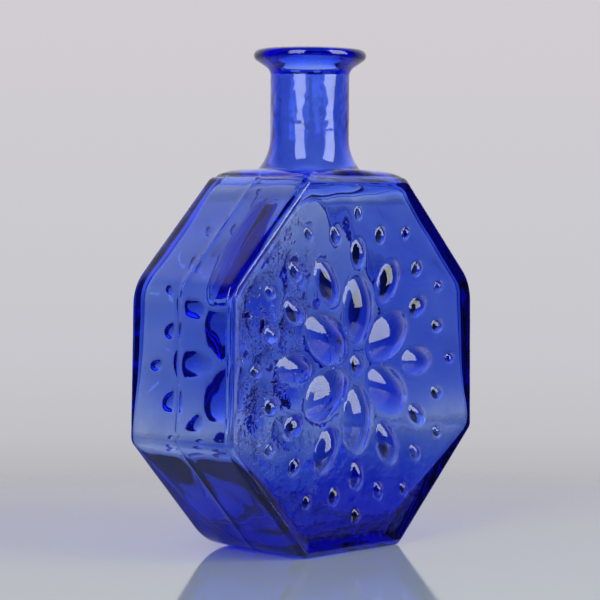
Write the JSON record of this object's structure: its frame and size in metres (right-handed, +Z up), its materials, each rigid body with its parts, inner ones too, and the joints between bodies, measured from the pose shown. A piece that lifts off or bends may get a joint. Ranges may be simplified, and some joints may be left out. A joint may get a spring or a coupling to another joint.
{
  "type": "glass bottle",
  "caption": "Flat eight-sided bottle of cobalt-blue glass with a pressed rosette on its broad panels, a round neck for a straight cork and a wide rounded lip.",
  "frame": {"origin": "middle of the base facet, on the surface that the bottle stands on", "axes": "+Z up along the axis of the neck, +X along the width of the broad panels, the front panel faces -Y"},
  "size_m": [0.153, 0.0604, 0.2018],
  "materials": {
    "blue_glass": "gloss"
  },
  "bodies": {
    "root": {"bottle": "blue_glass"}
  },
  "joints": []
}
